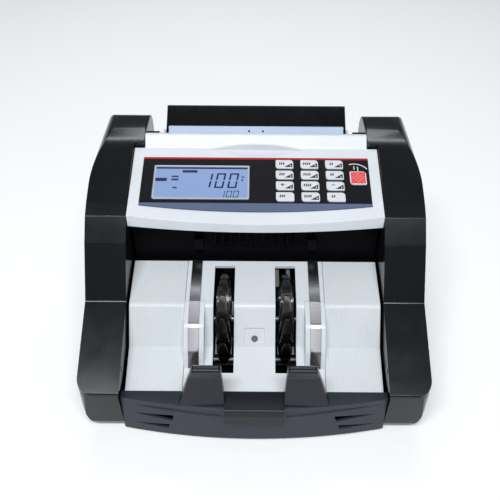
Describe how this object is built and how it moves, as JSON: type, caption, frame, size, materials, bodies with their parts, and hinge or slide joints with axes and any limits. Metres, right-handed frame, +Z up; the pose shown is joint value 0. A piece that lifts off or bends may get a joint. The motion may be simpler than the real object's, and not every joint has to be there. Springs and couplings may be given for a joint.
{
  "type": "banknote counting machine",
  "caption": "Desktop banknote counter: top hopper with note support, sloping display panel with keys, open front stacker with bladed wheels, rear power inlet.",
  "frame": {"origin": "centre of the footprint, on the surface that the feet stand on", "axes": "+X to the operator's right, +Y to the back, +Z up"},
  "size_m": [0.29, 0.258, 0.1875],
  "materials": {
    "cover_black": "fine satin grain, moulded black ABS",
    "bumper_black": "satin, moulded charcoal ABS",
    "panel_white": "satin, moulded cool white ABS",
    "hopper_white": "smooth bluish white",
    "overlay_black": "gloss film with a red line and a slate blue band",
    "lcd": "backlit blue display with a silver frame",
    "key_white": "satin white keycap with a black corner",
    "key_red": "satin red keycap",
    "steel": "brushed stainless steel",
    "zinc": "zinc plated sheet",
    "rubber": "moulded black rubber",
    "roller": "ground dark rubber",
    "board": "glass fibre board with solder mask",
    "motor": "dark steel can",
    "inlet": "moulded black nylon",
    "switch_red": "gloss red rocker",
    "sensor": "smoked grey lens block"
  },
  "bodies": {
    "housing": {"base_tray": "cover_black", "front_bumper": "bumper_black", "left_arm_cover": "cover_black", "right_arm_cover": "cover_black", "left_side_cover": "cover_black", "right_side_cover": "cover_black", "rear_cover": "cover_black", "stacker_stop": "cover_black", "rubber_feet": "rubber", "display_bezel": "panel_white", "panel_overlay": "overlay_black", "lcd_module": "lcd", "display_board": "board", "stacker_plate_left": "panel_white", "stacker_plate_right": "panel_white", "stacker_center_plate": "panel_white", "guide_strips": "steel", "note_sensors": "sensor", "hopper_plate": "hopper_white", "exit_guide": "cover_black", "frame_left": "zinc", "frame_right": "zinc", "tie_bars": "steel", "main_motor": "motor", "stacker_motor": "motor", "main_belt": "rubber", "transport_belt": "rubber", "pickup_belt": "rubber", "stacker_belt": "rubber", "power_board": "board", "main_board": "board", "power_inlet": "inlet", "screws": "steel"},
    "feed": {"feed_shaft": "steel", "feed_rollers": "roller"},
    "pickup": {"pickup_shaft": "steel", "pickup_rollers": "roller"},
    "transport": {"transport_shaft": "steel", "transport_rollers": "roller"},
    "main_rotor": {"motor_pulley": "steel"},
    "stacker_wheels": {"stacker_shaft": "steel", "stacker_wheel_left": "rubber", "stacker_wheel_right": "rubber"},
    "stacker_rotor": {"stacker_motor_pulley": "steel"},
    "hopper_cover": {"top_cover": "panel_white"},
    "support": {"note_support": "cover_black"},
    "rocker": {"power_switch": "switch_red"},
    "start": {"start_key": "key_red"},
    "button_1": {"key_1": "key_white"},
    "button_2": {"key_2": "key_white"},
    "button_3": {"key_3": "key_white"},
    "button_4": {"key_4": "key_white"},
    "button_5": {"key_5": "key_white"},
    "button_6": {"key_6": "key_white"},
    "button_7": {"key_7": "key_white"},
    "button_8": {"key_8": "key_white"},
    "button_9": {"key_9": "key_white"},
    "button_10": {"key_10": "key_white"},
    "button_11": {"key_11": "key_white"},
    "button_12": {"key_12": "key_white"}
  },
  "joints": [
    {"name": "key_1_press", "type": "slide", "parent": "housing", "child": "button_1", "axis": [0, 0.309, -0.9511], "range_m": [0, 0.001], "stiffness_N_per_m": 600, "springref_m": -0.0008},
    {"name": "key_2_press", "type": "slide", "parent": "housing", "child": "button_2", "axis": [0, 0.309, -0.9511], "range_m": [0, 0.001], "stiffness_N_per_m": 600, "springref_m": -0.0008},
    {"name": "key_3_press", "type": "slide", "parent": "housing", "child": "button_3", "axis": [0, 0.309, -0.9511], "range_m": [0, 0.001], "stiffness_N_per_m": 600, "springref_m": -0.0008},
    {"name": "key_4_press", "type": "slide", "parent": "housing", "child": "button_4", "axis": [0, 0.309, -0.9511], "range_m": [0, 0.001], "stiffness_N_per_m": 600, "springref_m": -0.0008},
    {"name": "key_5_press", "type": "slide", "parent": "housing", "child": "button_5", "axis": [0, 0.309, -0.9511], "range_m": [0, 0.001], "stiffness_N_per_m": 600, "springref_m": -0.0008},
    {"name": "key_6_press", "type": "slide", "parent": "housing", "child": "button_6", "axis": [0, 0.309, -0.9511], "range_m": [0, 0.001], "stiffness_N_per_m": 600, "springref_m": -0.0008},
    {"name": "key_7_press", "type": "slide", "parent": "housing", "child": "button_7", "axis": [0, 0.309, -0.9511], "range_m": [0, 0.001], "stiffness_N_per_m": 600, "springref_m": -0.0008},
    {"name": "key_8_press", "type": "slide", "parent": "housing", "child": "button_8", "axis": [0, 0.309, -0.9511], "range_m": [0, 0.001], "stiffness_N_per_m": 600, "springref_m": -0.0008},
    {"name": "key_9_press", "type": "slide", "parent": "housing", "child": "button_9", "axis": [0, 0.309, -0.9511], "range_m": [0, 0.001], "stiffness_N_per_m": 600, "springref_m": -0.0008},
    {"name": "key_10_press", "type": "slide", "parent": "housing", "child": "button_10", "axis": [0, 0.309, -0.9511], "range_m": [0, 0.001], "stiffness_N_per_m": 600, "springref_m": -0.0008},
    {"name": "key_11_press", "type": "slide", "parent": "housing", "child": "button_11", "axis": [0, 0.309, -0.9511], "range_m": [0, 0.001], "stiffness_N_per_m": 600, "springref_m": -0.0008},
    {"name": "key_12_press", "type": "slide", "parent": "housing", "child": "button_12", "axis": [0, 0.309, -0.9511], "range_m": [0, 0.001], "stiffness_N_per_m": 600, "springref_m": -0.0008},
    {"name": "start_key_press", "type": "slide", "parent": "housing", "child": "start", "axis": [0, 0.309, -0.9511], "range_m": [0, 0.001], "stiffness_N_per_m": 600, "springref_m": -0.0008},
    {"name": "feed_spin", "type": "hinge", "parent": "housing", "child": "feed", "pos_m": [0, 0.07989, 0.14494], "axis": [1, 0, 0], "continuous": true},
    {"name": "pickup_spin", "type": "hinge", "parent": "housing", "child": "pickup", "pos_m": [0, 0.09177, 0.15936], "axis": [1, 0, 0], "continuous": true},
    {"name": "transport_spin", "type": "hinge", "parent": "housing", "child": "transport", "pos_m": [0, 0.032, 0.116], "axis": [1, 0, 0], "continuous": true},
    {"name": "main_rotor_spin", "type": "hinge", "parent": "housing", "child": "main_rotor", "pos_m": [0, 0.066, 0.062], "axis": [1, 0, 0], "continuous": true},
    {"name": "stacker_spin", "type": "hinge", "parent": "housing", "child": "stacker_wheels", "pos_m": [0, -0.042, 0.062], "axis": [1, 0, 0], "continuous": true},
    {"name": "stacker_rotor_spin", "type": "hinge", "parent": "housing", "child": "stacker_rotor", "pos_m": [0, 0.008, 0.04], "axis": [1, 0, 0], "continuous": true},
    {"name": "hopper_cover_lift", "type": "hinge", "parent": "housing", "child": "hopper_cover", "pos_m": [0, 0.0815, 0.174], "axis": [-1, 0, 0], "range_deg": [0, 60]},
    {"name": "support_fold", "type": "hinge", "parent": "housing", "child": "support", "pos_m": [0, 0.092, 0.168], "axis": [1, 0, 0], "range_deg": [0, 60]},
    {"name": "power_rocker", "type": "hinge", "parent": "housing", "child": "rocker", "pos_m": [-0.07, 0.122, 0.097], "axis": [-1, 0, 0], "range_deg": [0, 16]}
  ],
  "couplings": [
    {"joint": "pickup_spin", "follows": "feed_spin", "ratio": 1.3333},
    {"joint": "transport_spin", "follows": "feed_spin", "ratio": 1},
    {"joint": "main_rotor_spin", "follows": "feed_spin", "ratio": 1.6667},
    {"joint": "stacker_rotor_spin", "follows": "stacker_spin", "ratio": 1.6667}
  ]
}
